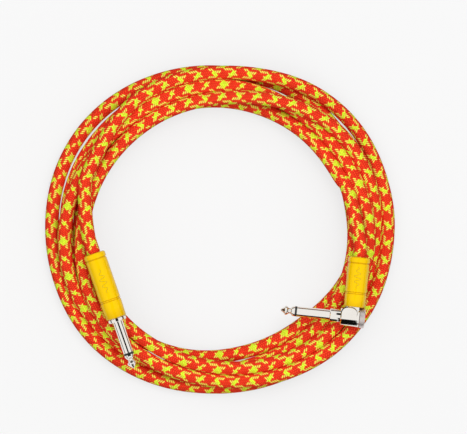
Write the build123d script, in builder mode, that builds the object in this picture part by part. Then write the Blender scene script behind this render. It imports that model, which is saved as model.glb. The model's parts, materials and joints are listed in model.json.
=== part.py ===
"""Instrument cable: a hand-coiled braided cable with a straight and a right-angle plug.

Millimetres, +Z up. The coil lies flat on Z = 0 about the origin, and both plugs lie
level on top of it. Along each plug, distances are measured from the rear of its
screw-on barrel, where the cable goes in, towards the nose.
"""

import os
from math import cos, radians, sin, tan

from build123d import *

os.makedirs("parts", exist_ok=True)

# Cable
cable_radius = 4.25
coil_height = 15.5
coil_rounding = 3.5
# The coil's outline every 30 degrees, counter-clockwise from +X
coil_outer_radii = (108.0, 109.0, 106.0, 102.0, 105.4, 108.6, 108.0, 107.8, 105.0, 102.0, 103.4, 107.0)
coil_inner_radii = (79.0, 76.8, 74.8, 74.2, 76.0, 77.8, 79.0, 80.0, 78.0, 74.0, 73.6, 77.5)

# Where the plugs lie
plug_height = 22.85
straight_rear = (-77.3, -15.1, plug_height)
straight_heading = -70.8
angle_rear = (86.9, -17.4, plug_height)
angle_heading = -96.0

# 6.35 mm jack
jack_radius = 3.175
jack_length = 30.5
sleeve_length = 20.4
tip_ring_length = 1.3
# The tip's profile as (distance back from its nose, radius): skirt, neck, bulb and cone
tip_skirt = 0.9
tip_profile = (
    (6.9, 2.7),
    (6.0, 1.9),
    (5.4, 1.75),
    (4.9, 1.95),
    (3.9, 2.75),
    (3.3, 2.9),
    (2.7, 2.75),
    (1.0, 1.2),
    (0.4, 0.75),
    (0.1, 0.4),
    (0.0, 0.0),
)
tip_radius = 3.125
tube_radius = 2.3
rod_radius = 1.2

# Screw-on barrels
barrel_radius = 6.7
band_radius = 6.75
nose_radius = 6.45
ring_radius = 6.85
ring_length = 3.3
groove_depth = 0.35
wide_groove = 1.0
wide_groove_flank = 0.2
fine_groove = 0.54
fine_groove_flank = 0.12
fine_groove_pitch = 1.0
band_rise = 1.7
rear_rounding = 1.0
rear_chamfer = 0.5
nose_chamfer = 0.4
rear_bore = 5.0
barrel_bore = 5.6
barrel_step = 4.4
thread_radius = 5.45
thread_depth = 0.3
thread_pitch = 1.0
thread_length = 7.6
# Where one ridge's crest and root start and end within a pitch
crest_start = 0.15
crest_end = 0.45
root_start = 0.6
root_end = 0.95
straight_barrel_length = 42.2
straight_band = 12.2
angle_barrel_length = 31.0
angle_band = 9.4

# Inside the barrels
liner_inner = 5.0
liner_start = 4.9
liner_gap = 1.6
clamp_start = 9.0
clamp_ring = 4.0
clamp_thickness = 0.5
clamp_trough_arc = 150
clamp_ring_arc = 300
recess_radius = 4.3
recess_depth = 3.0
washer_thickness = 2.2
jacket_cut = 15.0
inner_jacket_radius = 2.2
inner_jacket_end = 18.0
core_radius = 1.4
wire_radius = 0.45
tail_radius = 0.7
tail_bend_radius = 20.0
# The shield tail's points as (distance from the jacket's cut, height)
tail_points = ((0.0, -3.0), (3.0, -3.05), (7.0, -3.5))
tail_joint = (6.6, -3.5)
lug_thickness = 0.6
solder_radius = 0.95
solder_height = 0.1

# Straight plug body
collar_radius = 5.8
collar_length = 2.25
collar_gap = 0.15
collar_rear_chamfer = 0.3
collar_front_chamfer = 0.4
straight_wire_end = 29.7
straight_joint_back = 1.2
straight_lug_radius = 2.6
straight_strip = (8.0, 3.0)
straight_strip_back = 4.4

# Right-angle housing, measured along the jack from where the two axes cross
elbow_radius = 5.8
elbow_back = -3.6
elbow_front = 8.0
elbow_distance = 37.4
elbow_chamfer = 0.7
# The elbow's flat-topped shoulder, which reaches back to the barrel
shoulder_reach = 6.2
shoulder_back = -2.6
shoulder_corner = 4.2
shoulder_chamfer = 0.6
stem_radius = 5.15
cavity_radius = 4.4
stem_recess = 4.0
stem_bore = 2.8
boss_radius = 4.25
boss_end = 14.6
boss_chamfer = 0.4
seat_start = 5.4
angle_wire_end = 36.0
angle_joint_back = 3.2
angle_lug_radius = 2.2
angle_strip = 4.4
angle_strip_reach = 2.6
angle_strip_half = 1.2
cap_radius = 6.15
cap_back = -7.2
cap_gap = 0.15
cap_chamfer = 0.3
cap_rim = 0.7
slot_width = 1.4
slot_depth = 1.2
slot_length = 9.0
spigot_radius = 4.75
spigot_inner = 4.1
spigot_end = -1.6
spigot_floor = -4.0
cap_bore = 4.9
cap_bore_end = -1.4
disc_gap = 0.2
disc_face = -3.9


def plug_plane(origin, heading, roll=0):
    """A plane whose X runs level along a plug and whose level Y is turned by roll about it."""
    forward = (cos(radians(heading)), sin(radians(heading)), 0)
    lean = sin(radians(roll))
    normal = (lean * forward[1], -lean * forward[0], cos(radians(roll)))
    return Plane(origin=origin, x_dir=forward, z_dir=normal)


def turned(plane, outline, rounding=0, arc=360):
    """A piece turned on a lathe: a closed (along, radius) outline about the plane's X."""
    with BuildPart() as piece:
        with BuildSketch(plane):
            with BuildLine():
                FilletPolyline(*outline, radius=rounding, close=True)
            make_face()
        revolve(axis=Axis(plane.origin, plane.x_dir), revolution_arc=arc)
    return piece


def rectangle(start, end, inner, outer):
    """The outline of a plain ring or, with an inner radius of 0, of a disc."""
    return [(start, inner), (start, outer), (end, outer), (end, inner)]


def thread(start, end, crest, depth):
    """Outline points of a thread's ridges from start to end; a negative depth is a nut's."""
    points = []
    ridges = int((end - start) / thread_pitch)
    for ridge in range(ridges):
        foot = start + ridge * thread_pitch
        points += [(foot + crest_start, crest), (foot + crest_end, crest)]
        points += [(foot + root_start, crest - depth), (foot + root_end, crest - depth)]
    return points


def save(piece, name):
    """Label a finished piece and write it as a STEP file of the same name."""
    piece.part.label = name
    export_step(piece.part, f"parts/{name}.step")


def arc_radii(route):
    """The radius at each bend: 0.45 of its shorter run over the tangent of half its turn."""
    radii = []
    for before, corner, after in zip(route, route[1:], route[2:]):
        run_in = Vector(*corner) - Vector(*before)
        run_out = Vector(*after) - Vector(*corner)
        shorter = min(run_in.length, run_out.length)
        radii.append(0.45 * shorter / tan(radians(run_in.get_angle(run_out)) / 2))
    return radii


def cable_run(name, route):
    """A stretch of cable along straight runs joined by tangent arcs."""
    radii = arc_radii(route)
    with BuildPart() as piece:
        with BuildLine() as path:
            FilletPolyline(*route, radius=radii)
        with BuildSketch(Plane(origin=path.line @ 0, z_dir=path.line % 0)) as section:
            Circle(cable_radius)
        sweep()
    length = path.wire().length
    share = piece.part.volume / (section.sketch.area * length)
    print(name, "bend radii", [round(radius) for radius in radii])
    print(name, "length", round(length, 1), "volume over section times length", round(share, 4))
    save(piece, name)


def along(plane, distance):
    """The point at a distance along a plug, in the part's own frame."""
    return tuple(plane.origin + plane.x_dir * distance)


straight_plane = plug_plane(straight_rear, straight_heading)
angle_plane = plug_plane(angle_rear, angle_heading)
jack_plane = plug_plane(along(angle_plane, elbow_distance), angle_heading - 90)
straight_collar = straight_barrel_length + collar_gap
straight_nose = straight_collar + collar_length
straight_body_rear = straight_barrel_length - thread_length
angle_body_rear = angle_barrel_length - thread_length

# ---------------------------------------------------------------- the coil
# Every turn of the coiled cable as one closed solid of the coil's outer shape
outer_points = []
inner_points = []
for step, (outer, inner) in enumerate(zip(coil_outer_radii, coil_inner_radii)):
    turn = radians(360 / len(coil_outer_radii) * step)
    outer_points.append((outer * cos(turn), outer * sin(turn)))
    inner_points.append((inner * cos(turn), inner * sin(turn)))
with BuildPart() as cable_coil:
    with BuildSketch() as coil_outline:
        with BuildLine():
            Spline(*outer_points, periodic=True)
        make_face()
        with BuildLine():
            Spline(*inner_points, periodic=True)
        make_face(mode=Mode.SUBTRACT)
    extrude(amount=coil_height)
    fillet(cable_coil.faces().sort_by(Axis.Z)[-1].edges(), coil_rounding)
save(cable_coil, "cable_coil")

# ---------------------------------------------------------------- the cable's two ends
# From inside each barrel down into the coil's top
straight_route = [
    along(straight_plane, jacket_cut),
    along(straight_plane, -13.0),
    (-83.8, 29.0, 18.2),
    (-70.5, 57.5, 12.3),
]
angle_route = [
    along(angle_plane, jacket_cut),
    along(angle_plane, -9.0),
    (78.2, 27.0, 14.0),
    (58.5, 55.0, 12.5),
]
cable_run("straight_lead", straight_route)
cable_run("angle_lead", angle_route)

# ---------------------------------------------------------------- both plugs
plugs = (
    ("straight", straight_heading, straight_barrel_length, straight_band, straight_body_rear),
    ("angle", angle_heading, angle_barrel_length, angle_band, angle_body_rear),
)
rears = {"straight": straight_rear, "angle": angle_rear}
core_ends = {"straight": 25.2, "angle": 31.0}
wire_ends = {"straight": straight_wire_end, "angle": angle_wire_end}
for plug, heading, barrel_length, band, body_rear in plugs:
    plane = plug_plane(rears[plug], heading)
    # Screw-on barrel: rear ring, groove, body, two fine grooves and a tapered front band
    band_start = barrel_length - band
    outline = [
        (0, rear_bore + rear_chamfer),
        (0, ring_radius - rear_rounding),
        (0.3 * rear_rounding, ring_radius - 0.4 * rear_rounding),
        (0.9 * rear_rounding, ring_radius),
        (ring_length, ring_radius),
    ]
    grooves = (
        (ring_length, wide_groove, wide_groove_flank),
        (band_start, fine_groove, fine_groove_flank),
        (band_start + fine_groove_pitch, fine_groove, fine_groove_flank),
    )
    for edge, width, flank in grooves:
        if edge > ring_length:
            outline.append((edge, barrel_radius))
        outline += [
            (edge + flank, barrel_radius - groove_depth),
            (edge + width - flank, barrel_radius - groove_depth),
            (edge + width, barrel_radius),
        ]
    outline += [
        (band_start + band_rise, band_radius),
        (barrel_length - nose_chamfer, nose_radius),
        (barrel_length, nose_radius - nose_chamfer),
        (barrel_length, barrel_bore),
    ]
    outline += thread(body_rear + nose_chamfer, barrel_length - 0.6, barrel_bore, -thread_depth)[::-1]
    outline += [(barrel_step, barrel_bore), (barrel_step, rear_bore), (rear_chamfer, rear_bore)]
    save(turned(plane, outline), f"{plug}_barrel")

    # Insulating tube that lines the barrel
    liner_end = body_rear - liner_gap
    liner = rectangle(liner_start, liner_end, liner_inner, thread_radius)
    save(turned(plane, liner), f"{plug}_liner")

    # Ground lug: a trough from the plug's body to a crimp ring round the cable
    trough_plane = plug_plane(rears[plug], heading, -165)
    crimp_plane = plug_plane(rears[plug], heading, -240)
    shell = cable_radius + clamp_thickness
    with BuildPart() as cable_clamp:
        with BuildSketch(trough_plane):
            with BuildLine():
                Polyline(*rectangle(clamp_start, body_rear, cable_radius, shell), close=True)
            make_face()
        revolve(axis=Axis(plane.origin, plane.x_dir), revolution_arc=clamp_trough_arc)
        with BuildSketch(crimp_plane):
            with BuildLine():
                Polyline(*rectangle(clamp_start, clamp_start + clamp_ring, cable_radius, shell), close=True)
            make_face()
        revolve(axis=Axis(plane.origin, plane.x_dir), revolution_arc=clamp_ring_arc)
    save(cable_clamp, f"{plug}_cable_clamp")

    # The stripped end of the cable: inner jacket, core insulation and centre wire
    core_end = core_ends[plug]
    stripped = (
        ("inner_jacket", jacket_cut, inner_jacket_end, inner_jacket_radius),
        ("core_insulation", inner_jacket_end, core_end, core_radius),
        ("centre_wire", core_end, wire_ends[plug], wire_radius),
    )
    for layer, start, end, radius in stripped:
        save(turned(plane, rectangle(start, end, 0, radius)), f"{plug}_{layer}")

    # The shield, twisted into a tail and led down to the ground lug
    upright = plug_plane(rears[plug], heading, 90)
    tail_route = [(jacket_cut + distance, height) for distance, height in tail_points]
    with BuildPart() as shield_tail:
        with BuildLine(upright) as tail_path:
            FilletPolyline(*tail_route, radius=tail_bend_radius)
        with BuildSketch(Plane(origin=tail_path.line @ 0, z_dir=tail_path.line % 0)):
            Circle(tail_radius)
        sweep()
    save(shield_tail, f"{plug}_shield_tail")

# ---------------------------------------------------------------- jack parts of both plugs
# A plane along each jack, and where its sleeve's shoulder and its insulators start
straight_bore = straight_body_rear + recess_depth
jacks = (
    ("straight", straight_plane, straight_nose, straight_bore - washer_thickness, straight_bore, recess_radius),
    ("angle", jack_plane, boss_end, -wire_radius, seat_start, cavity_radius),
)
for plug, plane, shoulder, rod_rear, bore_start, washer_radius in jacks:
    sleeve_end = shoulder + sleeve_length
    tip_start = sleeve_end + tip_ring_length
    nose = shoulder + jack_length
    # Tip and its rod in one piece
    tip_outline = [
        (rod_rear, 0),
        (rod_rear, rod_radius),
        (tip_start, rod_radius),
        (tip_start, tip_radius),
        (tip_start + tip_skirt, tip_radius),
    ]
    tip_outline += [(nose - back, radius) for back, radius in tip_profile]
    with BuildPart() as tip:
        with BuildSketch(plane):
            with BuildLine():
                Polyline(*tip_outline, close=True)
            make_face()
        revolve(axis=Axis(plane.origin, plane.x_dir))
    save(tip, f"{plug}_tip")
    ring = rectangle(sleeve_end, tip_start, rod_radius, jack_radius)
    save(turned(plane, ring), f"{plug}_tip_ring")
    tube = rectangle(bore_start, sleeve_end, rod_radius, tube_radius)
    save(turned(plane, tube), f"{plug}_inner_insulator")
    washer = rectangle(bore_start - washer_thickness, bore_start, rod_radius, washer_radius)
    save(turned(plane, washer), f"{plug}_rear_washer")

# ---------------------------------------------------------------- straight plug's own pieces
# Nickel body: threaded rear, collar and sleeve
outline = [(straight_body_rear, recess_radius), (straight_body_rear, thread_radius - thread_depth)]
thread_end = straight_barrel_length - nose_chamfer
outline += thread(straight_body_rear, thread_end, thread_radius, thread_depth)
outline += [
    (straight_collar, thread_radius - thread_depth),
    (straight_collar, collar_radius - collar_rear_chamfer),
    (straight_collar + collar_rear_chamfer, collar_radius),
    (straight_nose - collar_front_chamfer, collar_radius),
    (straight_nose, collar_radius - collar_front_chamfer),
    (straight_nose, jack_radius),
    (straight_nose + sleeve_length, jack_radius),
    (straight_nose + sleeve_length, tube_radius),
    (straight_bore, tube_radius),
    (straight_bore, recess_radius),
]
save(turned(straight_plane, outline), "straight_sleeve")

# Solder lug riveted to the rod: a disc against the washer and a strip over the wire
lug_face = straight_bore - washer_thickness
with BuildPart() as straight_tip_lug:
    with BuildSketch(straight_plane):
        with BuildLine():
            Polyline(*rectangle(lug_face - lug_thickness, lug_face, 0, straight_lug_radius), close=True)
        make_face()
    revolve(axis=Axis(straight_plane.origin, straight_plane.x_dir))
    with BuildSketch(straight_plane.offset(wire_radius)):
        with Locations((lug_face - straight_strip_back, 0)):
            Rectangle(*straight_strip)
    extrude(amount=lug_thickness)
save(straight_tip_lug, "straight_tip_lug")

# Two soldered joints: wire to lug, and shield tail to clamp
tail_solder = (jacket_cut + tail_joint[0], 0, tail_joint[1])
wire_solder = (straight_wire_end - straight_joint_back, 0, solder_height)
with BuildPart(straight_plane) as straight_solder:
    with Locations(wire_solder, tail_solder):
        Sphere(solder_radius)
save(straight_solder, "straight_solder")

# ---------------------------------------------------------------- right-angle plug's own pieces
# The elbow's flat-topped shoulder, with its two corners rounded where it meets the barrel
with BuildPart() as shoulder:
    with BuildSketch(jack_plane) as shoulder_outline:
        with Locations((shoulder_back, -shoulder_reach)):
            Rectangle(elbow_front - shoulder_back, shoulder_reach, align=Align.MIN)
        fillet(shoulder_outline.vertices().sort_by(Axis.Y)[:2], shoulder_corner)
    extrude(amount=elbow_radius, both=True)
    for face in (shoulder.faces().sort_by(Axis.Z)[0], shoulder.faces().sort_by(Axis.Z)[-1]):
        chamfer(face.edges().sort_by(Axis.Y)[1:], shoulder_chamfer)

# Housing: a barrel-shaped elbow along the jack, and a threaded stem for the screw-on barrel
with BuildPart() as angle_housing:
    with BuildSketch(jack_plane):
        with BuildLine():
            Polyline(
                (elbow_back, 0),
                (elbow_back, elbow_radius),
                (elbow_front - elbow_chamfer, elbow_radius),
                (elbow_front, elbow_radius - elbow_chamfer),
                (elbow_front, 0),
                close=True,
            )
        make_face()
    revolve(axis=Axis(jack_plane.origin, jack_plane.x_dir))
    add(shoulder.part)
    with BuildSketch(angle_plane):
        stem = [(angle_body_rear, 0), (angle_body_rear, thread_radius - thread_depth)]
        stem += thread(angle_body_rear, angle_barrel_length - nose_chamfer, thread_radius, thread_depth)
        stem += [(angle_barrel_length, thread_radius - thread_depth), (elbow_distance, stem_radius)]
        stem += [(elbow_distance, 0)]
        with BuildLine():
            Polyline(*stem, close=True)
        make_face()
    revolve(axis=Axis(angle_plane.origin, angle_plane.x_dir))
    with BuildSketch(angle_plane):
        with BuildLine():
            Polyline(
                (angle_body_rear, 0),
                (angle_body_rear, recess_radius),
                (angle_body_rear + stem_recess, recess_radius),
                (angle_body_rear + stem_recess, stem_bore),
                (elbow_distance, stem_bore),
                (elbow_distance, 0),
                close=True,
            )
        make_face()
    revolve(axis=Axis(angle_plane.origin, angle_plane.x_dir), mode=Mode.SUBTRACT)
    # A flat on the stem, level with the elbow's back, that the cap lies against
    with BuildSketch(jack_plane):
        with Locations((elbow_back - elbow_radius, angle_barrel_length - elbow_distance)):
            Rectangle(elbow_radius, elbow_distance, align=Align.MIN)
    extrude(amount=barrel_radius, both=True, mode=Mode.SUBTRACT)
    with BuildSketch(jack_plane):
        with BuildLine():
            Polyline(
                (elbow_back, 0),
                (elbow_back, cap_bore),
                (cap_bore_end, cap_bore),
                (cap_bore_end, cavity_radius),
                (elbow_front, cavity_radius),
                (elbow_front, 0),
                close=True,
            )
        make_face()
    revolve(axis=Axis(jack_plane.origin, jack_plane.x_dir), mode=Mode.SUBTRACT)
save(angle_housing, "angle_housing")

# Sleeve with the boss that is pressed into the housing
outline = [
    (seat_start, tube_radius),
    (seat_start, cavity_radius),
    (elbow_front, cavity_radius),
    (elbow_front, boss_radius),
    (boss_end - boss_chamfer, boss_radius),
    (boss_end, boss_radius - boss_chamfer),
    (boss_end, jack_radius),
    (boss_end + sleeve_length, jack_radius),
    (boss_end + sleeve_length, tube_radius),
]
save(turned(jack_plane, outline), "angle_sleeve")

# Solder lug on the rod's end, reaching back to the wire
with BuildPart() as angle_tip_lug:
    with BuildSketch(jack_plane):
        with BuildLine():
            Polyline(*rectangle(-wire_radius - lug_thickness, -wire_radius, 0, angle_lug_radius), close=True)
        make_face()
    revolve(axis=Axis(jack_plane.origin, jack_plane.x_dir))
    with BuildSketch(jack_plane):
        with Locations((-wire_radius - lug_thickness / 2, -angle_strip_reach)):
            Rectangle(lug_thickness, angle_strip)
    extrude(amount=angle_strip_half, both=True)
save(angle_tip_lug, "angle_tip_lug")

wire_solder = (elbow_distance - angle_joint_back, 0, solder_height)
with BuildPart(angle_plane) as angle_solder:
    with Locations(wire_solder, tail_solder):
        Sphere(solder_radius)
save(angle_solder, "angle_solder")

# Screw cap with a coin slot, and the insulating disc inside it
with BuildPart() as end_cap:
    with BuildSketch(jack_plane):
        with BuildLine():
            Polyline(
                (cap_back, 0),
                (cap_back, cap_radius - cap_rim),
                (cap_back + 0.3 * cap_rim, cap_radius - 0.3 * cap_rim),
                (cap_back + cap_rim, cap_radius),
                (elbow_back - cap_gap - cap_chamfer, cap_radius),
                (elbow_back - cap_gap, cap_radius - cap_chamfer),
                (elbow_back - cap_gap, spigot_radius),
                (spigot_end, spigot_radius),
                (spigot_end, spigot_inner),
                (spigot_floor, spigot_inner),
                (spigot_floor, 0),
                close=True,
            )
        make_face()
    revolve(axis=Axis(jack_plane.origin, jack_plane.x_dir))
    with BuildSketch(jack_plane):
        with Locations((cap_back + slot_depth / 2, 0)):
            Rectangle(slot_depth, slot_width)
    extrude(amount=slot_length / 2, both=True, mode=Mode.SUBTRACT)
save(end_cap, "angle_end_cap")

disc = rectangle(disc_face, disc_face + lug_thickness, 0, spigot_inner - disc_gap)
save(turned(jack_plane, disc), "angle_cap_disc")
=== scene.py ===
"""Instrument cable: a hand-coiled braided cable with a straight and a right-angle plug."""

import json
from math import cos, pi, radians, sin

import bpy
import numpy as np
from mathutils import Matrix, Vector


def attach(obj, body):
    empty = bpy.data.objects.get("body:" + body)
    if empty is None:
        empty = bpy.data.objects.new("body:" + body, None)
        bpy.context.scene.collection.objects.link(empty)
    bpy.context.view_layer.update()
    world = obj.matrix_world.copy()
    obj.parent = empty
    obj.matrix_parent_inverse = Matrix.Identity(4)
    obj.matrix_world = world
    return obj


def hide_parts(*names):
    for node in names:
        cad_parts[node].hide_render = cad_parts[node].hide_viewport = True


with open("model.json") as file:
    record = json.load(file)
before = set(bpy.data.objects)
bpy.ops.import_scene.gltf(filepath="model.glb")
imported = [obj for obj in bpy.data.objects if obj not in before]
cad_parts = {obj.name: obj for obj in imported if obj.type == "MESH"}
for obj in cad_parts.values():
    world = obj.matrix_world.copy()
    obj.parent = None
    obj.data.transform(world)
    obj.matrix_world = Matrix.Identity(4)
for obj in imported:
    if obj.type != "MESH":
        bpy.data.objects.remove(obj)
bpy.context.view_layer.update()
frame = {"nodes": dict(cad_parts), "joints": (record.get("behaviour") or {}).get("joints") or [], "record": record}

MM = 0.001

# ------------------------------------------------------------------ driving dimensions
CORD = 8.5 * MM
# Radius of the coil's turns to the middle of the cable, every 20 degrees counter-clockwise
# from +X, turn by turn. They were read at uneven stations, evened out to 20 degrees by a
# scratch script and then adjusted by hand, as report.md says
TURN_STEP = 20
TURN_RADII_MM = (
    (85.4, 82.3, 80.3, 79.0, 78.9, 80.2, 81.0, 83.2, 86.0,
     87.4, 85.2, 83.7, 83.2, 84.7, 87.3, 90.8, 93.4, 93.3),
    (92.5, 90.0, 87.4, 86.9, 88.0, 88.0, 88.1, 89.7, 92.6,
     96.3, 97.8, 97.4, 95.1, 91.1, 86.6, 84.7, 85.0, 84.4),
    (83.3, 83.2, 83.8, 85.6, 88.0, 90.2, 92.0, 93.5, 95.4,
     95.3, 91.6, 86.3, 83.7, 80.8, 77.8, 78.4, 80.5, 84.7),
    (88.6, 91.8, 94.7, 96.9, 96.4, 97.6, 101.0, 103.8, 104.8,
     104.2, 104.0, 102.6, 100.2, 97.9, 97.6, 98.2, 98.0, 96.9),
    (95.4, 96.0, 94.5, 88.6, 83.2, 81.2, 80.4, 80.6, 82.6,
     85.3, 89.0, 91.7, 92.1, 93.1, 95.8, 98.9, 101.8, 102.4),
    (103.0, 104.2, 104.6, 101.4, 97.4, 96.0, 95.2, 93.3, 88.9, 82.1),
)
# The height that each stretch of the coil is laid down from, as (turned degrees, mm), which
# says what lies over what; each then settles on what is under it
LAY_HEIGHTS_MM = (
    (0, 22.8), (40, 14), (340, 13), (380, 9), (700, 9), (740, 6), (760, 4.25), (1430, 4.25),
    (1460, 8), (1500, 17), (1780, 17), (1800, 16), (1850, 21), (1930, 22), (1990, 22.8),
)
CONTROL_STEP = 10
COIL_START, COIL_END = 55, 1925
COIL_SHIFT = 0.7 * MM

# Settling of the cable, in nodes along it and in steps of sinking
NODE_SPACING = 4 * MM
HELD_LENGTH = 50 * MM
CONTROL_STRIDE = 4
SETTLE_STEPS = 1200
LATE_SHARE, SLOW_SHARE = 0.6, 0.75
SINK, SLOW_SINK = 0.05 * MM, 0.015 * MM
BEND_PASSES, BEND_SHARE = 12, 0.055
DRIFT_EASE = 0.25
DRIFT_KEPT, LATE_DRIFT_KEPT = 0.985, 0.95
CONTACT_PASSES = 3
CONTACT_GAP = 0.985
CONTACT_SHARE, PLUG_SHARE = 0.2, 0.3
OWN_NEIGHBOURS = 12
END_CLEARANCE = 16
PAIR_MARGIN, PLUG_MARGIN = 6 * MM, 4 * MM

# Balls along the plugs that the cable stays out of, in mm: where a row of them starts and
# ends, and their radius. The first three rows start from a barrel's rear, the others from
# where the right-angle plug's two axes cross
BALL_STEP = 3
STRAIGHT_BARREL_BALLS, STRAIGHT_JACK_BALLS = (0, 42, 6.9), (43, 75, 3.4)
ANGLE_BARREL_BALLS, HOUSING_BALLS, ANGLE_JACK_BALLS = (0, 31, 6.9), (-7, 8, 6.2), (9, 45, 4.3)

# Braid: a yarn goes once round the cable in BRAID_LAY, and each hand has a wide and a narrow
# yellow stripe, counted in yarns. The twist turns the stripes slowly round the cable
RING_SIDES = 32
BRAID_LAY = 21.7 * MM
YARNS = 16
WIDE_YARNS = 4
NARROW_YARNS = 2
TWIST_PER_METRE = 0.14
TWIST_START = -0.24
ROUND_ACROSS, ROUND_ALONG = 0.6, 0.5
# Each yarn colour is a pair: painted shade down between the yarns, then painted light on the yarn's top. The
# single yellow's dark end is the red yarn under it, in painted shade
RED_YARN_SHADE_TO_LIGHT = (0.50, 0.005, 0.002, 1), (1.0, 0.066, 0.024, 1)
SINGLE_YELLOW_RED_SHADE_TO_LIGHT = (0.56, 0.02, 0.005, 1), (0.98, 0.80, 0.11, 1)
DOUBLE_YELLOW_SHADE_TO_LIGHT = (0.58, 0.62, 0.01, 1), (0.76, 0.98, 0.05, 1)

# How far the braid reaches into each barrel, and the radii of the barrels' fine grooves
JACKET_CUT = 15 * MM
# The painted shade in the grooves fades out between these two radii
GROOVE_FLOOR, GROOVE_EDGE = 6.38 * MM, 6.62 * MM

# The wave on top of each barrel
MARK_RADIUS = 6.66 * MM
MARK_THICKNESS = 0.34 * MM
MARK_SWAY = 2.2 * MM
MARK_WAVES = 4
MARK_STEPS, MARK_SIDES = 160, 8
STRAIGHT_MARK_SPAN = 10.5 * MM, 26 * MM
ANGLE_MARK_SPAN = 6 * MM, 19.5 * MM

# Stage: the softbox's edge as the sine of its elevation, and the two brightnesses
SOFTBOX_EDGE = (0.24, 0.30)
SOFTBOX_LIGHT, ROOM_LIGHT = 1.0, 0.02
FLOOR_HALF = 4
FLOOR_LEVEL = -0.2 * MM
FLOOR_GREY, FLOOR_GLOW = 0.20, 0.70
CARD_HEIGHT, CARD_DISTANCE = 40 * MM, 60 * MM

# Camera
VIEW_CENTRE = Vector((9.0, 7.4, 8.0)) * MM
VIEW_WIDTH = 289.5 * MM
CAMERA_HEIGHT = 5.0
SENSOR_WIDTH = 36

UP = Vector((0, 0, 1))


def joint(name):
    return next(j for j in frame["joints"] if j["name"] == name)


def plug(turn_name):
    """The rear of a plug's barrel and the direction from there towards its nose."""
    turn = joint(turn_name)
    return Vector(turn["pos_m"]), -Vector(turn["axis"]).normalized()


straight_rear, straight_forward = plug("straight_barrel_turn")
angle_rear, angle_forward = plug("angle_barrel_turn")
# The right-angle plug's jack points away from its back cap, from where the two axes cross
cross = Vector(joint("end_cap_turn")["pos_m"])
jack_forward = -Vector(joint("end_cap_turn")["axis"]).normalized()

# The cable's two ends, from inside each barrel down to the coil
ANGLE_ROUTE = [
    angle_rear + angle_forward * JACKET_CUT,
    angle_rear,
    angle_rear - angle_forward * 9 * MM,
    Vector((0.0792, 0.0275, 0.0140)),
    Vector((0.0594, 0.0560, 0.0125)),
]
STRAIGHT_ROUTE = [
    straight_rear + straight_forward * JACKET_CUT,
    straight_rear,
    straight_rear - straight_forward * 13 * MM,
    Vector((-0.0838, 0.0290, 0.0182)),
    Vector((-0.0705, 0.0575, 0.0123)),
]


# ------------------------------------------------------------------ the cable's line
def nurbs_curve(name, points):
    """A smooth NURBS curve with these control points."""
    curve = bpy.data.curves.new(name, "CURVE")
    curve.dimensions = "3D"
    curve.resolution_u = 8
    spline = curve.splines.new("NURBS")
    spline.points.add(len(points) - 1)
    for spot, point in zip(spline.points, points):
        spot.co = (*point, 1)
    spline.order_u = 3
    spline.use_endpoint_u = True
    return bpy.data.objects.new(name, curve)


def line_of(points):
    """The points of the NURBS curve with these control points, as an array."""
    route = nurbs_curve("route", points)
    bpy.context.collection.objects.link(route)
    depsgraph = bpy.context.evaluated_depsgraph_get()
    mesh = bpy.data.meshes.new_from_object(route.evaluated_get(depsgraph))
    line = np.array([v.co[:] for v in mesh.vertices])
    curve = route.data
    bpy.data.objects.remove(route)
    bpy.data.curves.remove(curve)
    bpy.data.meshes.remove(mesh)
    return line


def even(line, spacing):
    """The line again with points about this far apart."""
    steps = np.linalg.norm(np.diff(line, axis=0), axis=1)
    along = np.concatenate([[0], np.cumsum(steps)])
    wanted = np.linspace(0, along[-1], round(along[-1] / spacing) + 1)
    return np.stack([np.interp(wanted, along, line[:, k]) for k in range(3)], axis=1)


def turn_radius(degrees):
    """The coil's radius after this much turning, eased between the listed ones."""
    radii = [r * MM for row in TURN_RADII_MM for r in row]
    index = min(int(degrees // TURN_STEP), len(radii) - 2)
    t = degrees / TURN_STEP - index
    p0, p1, p2, p3 = (radii[min(max(index + k, 0), len(radii) - 1)] for k in (-1, 0, 1, 2))
    bend = (2 * p0 - 5 * p1 + 4 * p2 - p3) * t * t + (3 * p1 - p0 - 3 * p2 + p3) * t ** 3
    return (2 * p1 + (p2 - p0) * t + bend) / 2


def coil_points():
    """Control points of every turn, a little outside the line that the spline takes."""
    outside = 1 / (0.5 + 0.5 * cos(radians(CONTROL_STEP)))
    turned, heights = zip(*LAY_HEIGHTS_MM)
    points = []
    for degrees in range(COIL_START, COIL_END + 1, CONTROL_STEP):
        radius = turn_radius(degrees) * outside
        angle = radians(degrees)
        height = np.interp(degrees, turned, heights) * MM
        points.append(Vector((COIL_SHIFT + radius * cos(angle), radius * sin(angle), height)))
    return points


def plug_obstacles():
    """Balls along both plugs that the cable may not enter, as centres and radii."""
    rows = (
        (straight_rear, straight_forward, STRAIGHT_BARREL_BALLS),
        (straight_rear, straight_forward, STRAIGHT_JACK_BALLS),
        (angle_rear, angle_forward, ANGLE_BARREL_BALLS),
        (cross, jack_forward, HOUSING_BALLS),
        (cross, jack_forward, ANGLE_JACK_BALLS),
    )
    centres, radii = [], []
    for origin, forward, (start, end, radius) in rows:
        for distance in np.arange(start, end, BALL_STEP):
            centres.append(origin + forward * distance * MM)
            radii.append(radius * MM)
    return np.array(centres), np.array(radii)


def push(positions, i, j, shift):
    """Moves points i by shift and points j by its opposite, adding up repeats."""
    for axis in range(3):
        positions[:, axis] += np.bincount(i, shift[:, axis], len(positions))
        if j is not None:
            positions[:, axis] -= np.bincount(j, shift[:, axis], len(positions))


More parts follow.
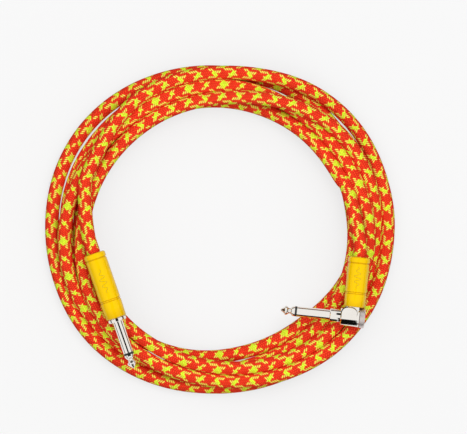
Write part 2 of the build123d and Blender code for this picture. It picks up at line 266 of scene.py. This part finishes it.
def settle(line, held):
    """Lets the cable sink under its weight until its turns rest on each other and the floor."""
    spots, home = line.copy(), line.copy()
    count = len(spots)
    free = np.ones(count, bool)
    free[:held] = free[-held:] = False
    i, j = np.triu_indices(count, OWN_NEIGHBOURS)
    near = np.hypot(*(spots[i, :2] - spots[j, :2]).T) < CORD + PAIR_MARGIN
    i, j = i[near], j[near]
    centres, radii = plug_obstacles()
    gaps = np.linalg.norm(spots[:, None, :2] - centres[None, :, :2], axis=2)
    p, q = np.nonzero(gaps < radii[None] + CORD / 2 + PLUG_MARGIN)
    clear_of_ends = (p > held + END_CLEARANCE) & (p < count - held - END_CLEARANCE)
    p, q = p[clear_of_ends], q[clear_of_ends]
    reach = CORD * CONTACT_GAP
    for step in range(SETTLE_STEPS):
        late = step > SETTLE_STEPS * LATE_SHARE
        spots[free, 2] -= SLOW_SINK if step > SETTLE_STEPS * SLOW_SHARE else SINK
        # Stiffness: a bend spreads along the cable
        for _ in range(BEND_PASSES):
            bend = np.zeros(count)
            bend[1:-1] = spots[:-2, 2] + spots[2:, 2] - 2 * spots[1:-1, 2]
            spread = np.zeros(count)
            spread[2:-2] = bend[1:-3] + bend[3:-1] - 2 * bend[2:-2]
            spread[~free] = 0
            spots[:, 2] -= BEND_SHARE * spread
        # Sideways it stays near its place in the coil
        drift = spots[:, :2] - home[:, :2]
        ease = np.zeros_like(drift)
        ease[1:-1] = drift[:-2] + drift[2:] - 2 * drift[1:-1]
        drift = (drift + DRIFT_EASE * ease) * (LATE_DRIFT_KEPT if late else DRIFT_KEPT)
        spots[:, :2] = home[:, :2] + drift
        # Turns push each other apart, and later on the plugs push them too
        for _ in range(CONTACT_PASSES):
            apart = spots[i] - spots[j]
            distance = np.maximum(np.linalg.norm(apart, axis=1), 1e-6)
            share = np.clip(reach - distance, 0, None) / distance * CONTACT_SHARE
            push(spots, i, j, apart * share[:, None])
            if late:
                apart = spots[p] - centres[q]
                distance = np.linalg.norm(apart, axis=1)
                overlap = np.clip(radii[q] + CORD / 2 - distance, 0, None)
                share = overlap / distance * PLUG_SHARE
                push(spots, p, None, apart * share[:, None])
            spots[~free] = home[~free]
            spots[:, 2] = np.maximum(spots[:, 2], CORD / 2)
    return spots


def cable_line():
    """The whole cable's centre line, from the right-angle plug to the straight plug."""
    laid = even(line_of(ANGLE_ROUTE + coil_points() + STRAIGHT_ROUTE[::-1]), NODE_SPACING)
    held = round(HELD_LENGTH / NODE_SPACING)
    settled = settle(laid, held)
    end = held + CONTROL_STRIDE
    middle = [Vector(spot) for spot in settled[end:-end:CONTROL_STRIDE]]
    control = ANGLE_ROUTE[:-1] + middle + STRAIGHT_ROUTE[-2::-1]
    return line_of(control)


# ------------------------------------------------------------------ meshes
def new_piece(name, verts, faces, body, material):
    """A smooth mesh that rides on a body."""
    mesh = bpy.data.meshes.new(name)
    mesh.from_pydata([tuple(v) for v in verts], [], faces)
    mesh.update()
    mesh.shade_smooth()
    mesh.materials.append(material)
    piece = bpy.data.objects.new(name, mesh)
    bpy.context.collection.objects.link(piece)
    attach(piece, body)
    return piece


def tube_frames(line):
    """Two unit directions square to a line at each of its points, with no twist."""
    tangents = np.gradient(line, axis=0)
    tangents /= np.linalg.norm(tangents, axis=1)[:, None]
    normal = np.cross(tangents[0], (0, 0, 1))
    normals = []
    for tangent in tangents:
        normal = normal - tangent * normal.dot(tangent)
        normal /= np.linalg.norm(normal)
        normals.append(normal)
    normals = np.array(normals)
    return normals, np.cross(tangents, normals)


def tube(line, diameter, sides):
    """The vertices and faces of a closed round tube along a line."""
    normals, others = tube_frames(line)
    angles = (np.arange(sides) / sides * 2 * pi)[None, :, None]
    circle = normals[:, None] * np.cos(angles) + others[:, None] * np.sin(angles)
    verts = (line[:, None] + circle * diameter / 2).reshape(-1, 3)
    last = len(line) - 1
    faces = []
    for ring in range(last):
        low, high = ring * sides, (ring + 1) * sides
        for side in range(sides):
            after = (side + 1) % sides
            faces.append((low + side, high + side, high + after, low + after))
    faces.append(tuple(range(sides)))
    faces.append(tuple(last * sides + side for side in reversed(range(sides))))
    return verts, faces


def braided_tube(name, line, material):
    """The cable's braid: a tube whose UVs run once round it and along it in metres."""
    verts, faces = tube(line, CORD, RING_SIDES)
    piece = new_piece(name, verts, faces, "cable", material)
    steps = np.linalg.norm(np.diff(line, axis=0), axis=1)
    along = np.concatenate([[0], np.cumsum(steps)])
    layer = piece.data.uv_layers.new(name="braid")
    uvs = []
    for near, far in zip(along, along[1:]):
        t0, t1 = (TWIST_START + TWIST_PER_METRE * length for length in (near, far))
        for side in range(RING_SIDES):
            u0, u1 = side / RING_SIDES, (side + 1) / RING_SIDES
            uvs += [u0 + t0, near, u0 + t1, far, u1 + t1, far, u1 + t0, near]
    both_ends = 2 * RING_SIDES
    uvs += [0.0, 0.0] * both_ends
    layer.data.foreach_set("uv", uvs)
    return piece


# ------------------------------------------------------------------ materials
class Shader:
    """A small wrapper that makes the nodes of one material."""

    def __init__(self, name, **settings):
        self.material = bpy.data.materials.new(name)
        self.material.use_nodes = True
        self.nodes = self.material.node_tree.nodes
        self.links = self.material.node_tree.links
        self.bsdf = self.nodes["Principled BSDF"]
        for socket, value in settings.items():
            self.bsdf.inputs[socket.replace("_", " ")].default_value = value

    def put(self, socket, value):
        if isinstance(value, bpy.types.NodeSocket):
            self.links.new(value, socket)
        else:
            socket.default_value = value

    def math(self, operation, *values):
        node = self.nodes.new("ShaderNodeMath")
        node.operation = operation
        for socket, value in zip(node.inputs, values):
            self.put(socket, value)
        return node.outputs[0]

    def vector(self, operation, first, second, output=1):
        node = self.nodes.new("ShaderNodeVectorMath")
        node.operation = operation
        self.put(node.inputs[0], first)
        self.put(node.inputs[1], second)
        return node.outputs[output]

    def mix(self, factor, first, second):
        node = self.nodes.new("ShaderNodeMix")
        node.data_type = "RGBA"
        self.put(node.inputs["Factor"], factor)
        self.put(node.inputs[6], first)
        self.put(node.inputs[7], second)
        return node.outputs[2]

    def place(self):
        """The object's own coordinates, in metres."""
        return self.nodes.new("ShaderNodeTexCoord").outputs["Object"]

    def noise(self, scale, detail=3, roughness=0.5):
        node = self.nodes.new("ShaderNodeTexNoise")
        node.inputs["Scale"].default_value = scale
        node.inputs["Detail"].default_value = detail
        node.inputs["Roughness"].default_value = roughness
        self.links.new(self.place(), node.inputs["Vector"])
        return node.outputs["Fac"]

    def range(self, value, low, high, out_low, out_high):
        node = self.nodes.new("ShaderNodeMapRange")
        for socket, item in zip(node.inputs, (value, low, high, out_low, out_high)):
            self.put(socket, item)
        return node.outputs[0]

    def bump(self, height, strength, distance):
        node = self.nodes.new("ShaderNodeBump")
        node.inputs["Strength"].default_value = strength
        node.inputs["Distance"].default_value = distance
        self.links.new(height, node.inputs["Height"])
        self.links.new(node.outputs[0], self.bsdf.inputs["Normal"])

    def finish(self, **links):
        for socket, value in links.items():
            self.put(self.bsdf.inputs[socket.replace("_", " ")], value)
        return self.material


def braid_material():
    """A twill braid: each yarn goes over two crossing yarns and under two."""
    s = Shader("braid", Roughness=0.75, IOR=1.45, Specular_IOR_Level=0.02)
    uv = s.nodes.new("ShaderNodeUVMap")
    uv.uv_map = "braid"
    split = s.nodes.new("ShaderNodeSeparateXYZ")
    s.links.new(uv.outputs[0], split.inputs[0])
    u, v = split.outputs[0], s.math("DIVIDE", split.outputs[1], BRAID_LAY)
    # Each hand's yarn number, and the place across that yarn. 1000 keeps the sum above zero
    yarns = []
    for hand in ("ADD", "SUBTRACT"):
        turns = s.math("ADD", s.math(hand, u, v), 1000)
        turned = s.math("MULTIPLY", s.math("FRACT", turns), YARNS)
        yarns.append((s.math("FLOOR", turned), s.math("FRACT", turned)))
    (right_id, right_across), (left_id, left_across) = yarns
    order = s.math("MODULO", s.math("ADD", right_id, left_id), 4)
    right_over = s.math("LESS_THAN", order, 1.5)

    def pick(right, left):
        """The value of the yarn that lies on top."""
        left_over = s.math("SUBTRACT", 1, right_over)
        return s.math("ADD", s.math("MULTIPLY", right_over, right), s.math("MULTIPLY", left_over, left))

    def striped(yarn):
        """1 on a yellow yarn, 0 on a red one."""
        wide = s.math("LESS_THAN", yarn, WIDE_YARNS - 0.5)
        narrow_middle = (WIDE_YARNS + YARNS - 1) / 2
        from_middle = s.math("ABSOLUTE", s.math("SUBTRACT", yarn, narrow_middle))
        narrow = s.math("LESS_THAN", from_middle, NARROW_YARNS / 2)
        return s.math("MAXIMUM", wide, narrow)

    right_yellow, left_yellow = striped(right_id), striped(left_id)
    yellow = pick(right_yellow, left_yellow)
    both = s.math("MULTIPLY", right_yellow, left_yellow)
    across = pick(right_across, left_across)
    right_along = s.math("DIVIDE", s.math("ADD", order, left_across), 2)
    left_along = s.math("DIVIDE", s.math("ADD", s.math("SUBTRACT", order, 2), right_across), 2)
    along = pick(right_along, left_along)
    # A yarn is round across its width, dips where it goes under, and has fine plies
    crown = s.math("POWER", s.math("SINE", s.math("MULTIPLY", across, pi)), ROUND_ACROSS)
    rise = s.math("POWER", s.math("SINE", s.math("MULTIPLY", along, pi)), ROUND_ALONG)
    height = s.math("MULTIPLY", crown, s.math("MULTIPLY_ADD", rise, 0.6, 0.4))
    plies = s.math("COSINE", s.math("MULTIPLY", across, 8 * pi))
    height = s.math("MULTIPLY", height, s.math("MULTIPLY_ADD", plies, 0.06, 0.94))
    # Each yarn is a little lighter or darker, by a noise of its own number and hand
    own = s.nodes.new("ShaderNodeTexWhiteNoise")
    own.noise_dimensions = "1D"
    hand_offset = s.math("MULTIPLY", right_over, 31)
    own_number = s.math("MULTIPLY_ADD", pick(right_id, left_id), 1.7, hand_offset)
    s.links.new(own_number, own.inputs["W"])
    shade = s.math("MULTIPLY_ADD", own.outputs["Value"], 0.16, 0.92)
    # Painted shade down between the yarns and painted light on their tops, set by the yarns' height; at a single
    # yellow yarn's edges the red yarn under it shows, in painted shade
    top = s.range(height, 0.15, 0.85, 0, 1)
    red = s.mix(top, *RED_YARN_SHADE_TO_LIGHT)
    single = s.mix(s.range(height, 0.35, 0.6, 0, 1), *SINGLE_YELLOW_RED_SHADE_TO_LIGHT)
    double = s.mix(top, *DOUBLE_YELLOW_SHADE_TO_LIGHT)
    colour = s.mix(yellow, red, s.mix(both, single, double))
    tint = s.nodes.new("ShaderNodeHueSaturation")
    s.links.new(shade, tint.inputs["Value"])
    s.links.new(colour, tint.inputs["Color"])
    s.bump(height, 0.7, 0.25 * MM)
    return s.finish(Base_Color=tint.outputs[0])


def barrel_material(name, rear, forward):
    """Satin lacquer, with painted shade down in the barrel's fine grooves and in its bore."""
    s = Shader(name, IOR=1.5, Specular_Tint=(1.0, 0.85, 0.2, 1))
    offset = s.vector("SUBTRACT", s.place(), rear, output=0)
    along = s.vector("DOT_PRODUCT", offset, forward)
    distance_squared = s.vector("DOT_PRODUCT", offset, offset)
    squared = s.math("SUBTRACT", distance_squared, s.math("MULTIPLY", along, along))
    radius = s.math("SQRT", s.math("MAXIMUM", squared, 0))
    free_of_groove_shade = s.range(radius, GROOVE_FLOOR, GROOVE_EDGE, 0, 1)
    fine = s.noise(2600, 4, 0.6)
    cloud = s.noise(60, 2)
    lacquer = s.mix(cloud, (0.94, 0.57, 0.0, 1), (0.98, 0.61, 0.0, 1))
    # The darker lacquer colour is painted shade in the grooves and the bore
    base = s.mix(free_of_groove_shade, (0.74, 0.42, 0.0, 1), lacquer)
    s.bump(fine, 0.1, 0.02 * MM)
    return s.finish(Base_Color=base, Roughness=s.range(fine, 0.3, 0.7, 0.14, 0.20))


def nickel_material(name, dark, light, low, high):
    """Plated metal with its roughness between low and high."""
    s = Shader(name, Metallic=1.0)
    fine = s.noise(900, 5, 0.65)
    smear = s.noise(120, 3)
    base = s.mix(smear, (*dark, 1), (*light, 1))
    s.bump(fine, 0.02, 0.01 * MM)
    return s.finish(Base_Color=base, Roughness=s.range(fine, 0.3, 0.7, low, high))


def plain_material(name, dark, light, roughness, metallic=0.0, scale=700):
    """A finish that varies a little over the surface."""
    s = Shader(name, Metallic=metallic)
    grain = s.noise(scale, 4, 0.6)
    base = s.mix(grain, (*dark, 1), (*light, 1))
    s.bump(grain, 0.15, 0.03 * MM)
    varied = s.range(grain, 0.3, 0.7, roughness * 0.85, roughness * 1.15)
    return s.finish(Base_Color=base, Roughness=varied)


materials = {
    "braid": braid_material(),
    "barrel": barrel_material("straight_barrel", straight_rear, straight_forward),
    "nickel": nickel_material("nickel", (0.82, 0.78, 0.72), (0.88, 0.85, 0.80), 0.04, 0.07),
    "insulator": plain_material("insulator", (0.008, 0.008, 0.008), (0.02, 0.02, 0.02), 0.35),
    "liner": plain_material("liner", (0.6, 0.6, 0.55), (0.72, 0.72, 0.68), 0.45),
    "tinned_brass": plain_material("tinned_brass", (0.6, 0.55, 0.42), (0.72, 0.68, 0.56), 0.3, 1.0),
    "jacket": plain_material("jacket", (0.012, 0.012, 0.012), (0.03, 0.03, 0.03), 0.6),
    "core": plain_material("core", (0.7, 0.7, 0.66), (0.8, 0.8, 0.77), 0.45),
    "copper": plain_material("copper", (0.65, 0.28, 0.14), (0.8, 0.4, 0.22), 0.3, 1.0, 2500),
    "solder": plain_material("solder", (0.5, 0.51, 0.53), (0.68, 0.69, 0.71), 0.35, 1.0),
}
slots = {row["node"]: row["material_slot"] for row in frame["record"]["subparts"]}
for name, node in frame["nodes"].items():
    node.data.materials.clear()
    node.data.materials.append(materials[slots[name]])
angle_lacquer = barrel_material("angle_barrel", angle_rear, angle_forward)
frame["nodes"]["angle_barrel"].data.materials[0] = angle_lacquer
frame["nodes"]["angle_end_cap"].data.materials[0] = nickel_material(
    "satin_nickel", (0.60, 0.53, 0.50), (0.68, 0.61, 0.58), 0.3, 0.4
)
mark_material = plain_material("mark", (0.56, 0.37, 0.0), (0.68, 0.46, 0.002), 0.4)


def wave_mark(name, body, rear, forward, span):
    """A plain wave drawn as a fine raised line along the top of a barrel."""
    start, end = span
    side = UP.cross(forward)
    middles = []
    for step in range(MARK_STEPS + 1):
        t = step / MARK_STEPS
        sway = MARK_SWAY * sin(pi * t) * sin(2 * pi * MARK_WAVES * t)
        turn = sway / MARK_RADIUS
        outwards = UP * cos(turn) + side * sin(turn)
        middles.append(rear + forward * (start + (end - start) * t) + outwards * MARK_RADIUS)
    line = np.array([middle[:] for middle in middles])
    verts, faces = tube(line, MARK_THICKNESS, MARK_SIDES)
    new_piece(name, verts, faces, body, mark_material)


wave_mark("straight_mark", "straight_barrel", straight_rear, straight_forward, STRAIGHT_MARK_SPAN)
wave_mark("angle_mark", "angle_barrel", angle_rear, angle_forward, ANGLE_MARK_SPAN)

# ------------------------------------------------------------------ the cable
line = cable_line()
cable = braided_tube("cable", line, materials["braid"])
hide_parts("cable_coil", "straight_lead", "angle_lead")


# ------------------------------------------------------------------ stage, light and camera
def sheet(name, centre, half_length, half_width, shader):
    """A flat rectangle that belongs to the stage."""
    signs = ((-1, -1), (1, -1), (1, 1), (-1, 1))
    mesh = bpy.data.meshes.new(name)
    corners = [centre + a * half_length + b * half_width for a, b in signs]
    mesh.from_pydata(corners, [], [(0, 1, 2, 3)])
    mesh.materials.append(shader.material)
    piece = bpy.data.objects.new(name, mesh)
    bpy.context.collection.objects.link(piece)
    return piece


def overhead_light(height, size, power):
    """A broad light overhead that gives the braid its shape and shows in no reflection."""
    light = bpy.data.lights.new("overhead", "AREA")
    light.shape = "DISK"
    light.size = size
    light.energy = power
    lamp = bpy.data.objects.new("overhead", light)
    lamp.location = Vector((0.25, 0.35, 1)) * height
    lamp.rotation_euler = (-lamp.location).to_track_quat("-Z", "Y").to_euler()
    lamp.visible_glossy = False
    bpy.context.collection.objects.link(lamp)


def studio_world():
    """A softbox that covers most of the sky, over a dark band round the horizon."""
    world = bpy.data.worlds.new("studio")
    world.use_nodes = True
    nodes, links = world.node_tree.nodes, world.node_tree.links
    coordinates = nodes.new("ShaderNodeTexCoord")
    split = nodes.new("ShaderNodeSeparateXYZ")
    edge = nodes.new("ShaderNodeMapRange")
    edge.interpolation_type = "SMOOTHSTEP"
    links.new(coordinates.outputs["Generated"], split.inputs[0])
    links.new(split.outputs[2], edge.inputs[0])
    for socket, value in zip(edge.inputs[1:], (*SOFTBOX_EDGE, ROOM_LIGHT, SOFTBOX_LIGHT)):
        socket.default_value = value
    links.new(edge.outputs[0], nodes["Background"].inputs[1])
    nodes["Background"].inputs[0].default_value = (1, 1, 1, 1)
    return world


def flag(name, centre, half_length, half_width):
    """A black card that shows only in reflections."""
    black = (0.01, 0.01, 0.01, 1)
    shader = Shader(name, Base_Color=black, Roughness=1.0, Specular_IOR_Level=0)
    card = sheet(name, centre, half_length, half_width, shader)
    card.visible_camera = card.visible_diffuse = False
    card.visible_shadow = card.visible_transmission = False


floor_shader = Shader(
    "floor",
    Base_Color=(FLOOR_GREY, FLOOR_GREY, FLOOR_GREY, 1),
    Roughness=0.9,
    Emission_Color=(1, 1, 1, 1),
    Emission_Strength=FLOOR_GLOW,
)
floor_sides = Vector((FLOOR_HALF, 0, 0)), Vector((0, FLOOR_HALF, 0))
floor = sheet("floor", Vector((0, 0, FLOOR_LEVEL)), *floor_sides, floor_shader)
floor.visible_diffuse = False

# Cards over the straight plug and over the right-angle plug's barrel, each half as long and
# wide as its last two values say, and two that stand in front of the right-angle plug
above = UP * CARD_HEIGHT
front = cross + UP.cross(jack_forward) * CARD_DISTANCE
straight_side, angle_side = UP.cross(straight_forward), UP.cross(angle_forward)
flag("straight_flag", straight_rear + straight_forward * 38 * MM + above,
     straight_forward * 45 * MM, straight_side * 11 * MM)
flag("angle_flag", angle_rear + angle_forward * 12 * MM + above + jack_forward * 4 * MM,
     angle_forward * 17 * MM, angle_side * 6 * MM)
flag("tip_flag", straight_rear + straight_forward * 71.5 * MM + above,
     straight_forward * 5 * MM, straight_side * 30 * MM)
flag("elbow_flag", front + jack_forward * 2.2 * MM + UP * 34 * MM,
     jack_forward * 6 * MM, UP * 56 * MM)
flag("jack_flag", front + jack_forward * 30 * MM + UP * 2 * MM,
     jack_forward * 21 * MM, UP * 24 * MM)
overhead_light(height=2.0, size=1.2, power=12)
bpy.context.scene.world = studio_world()
bpy.context.scene.view_settings.view_transform = "Standard"

# The camera looks straight down, from so far above that the plugs show almost no perspective
camera_data = bpy.data.cameras.new("camera")
camera_data.sensor_width = SENSOR_WIDTH
camera_data.lens = SENSOR_WIDTH * CAMERA_HEIGHT / VIEW_WIDTH
camera = bpy.data.objects.new("camera", camera_data)
camera.location = VIEW_CENTRE + UP * CAMERA_HEIGHT
bpy.context.collection.objects.link(camera)
bpy.context.scene.camera = camera
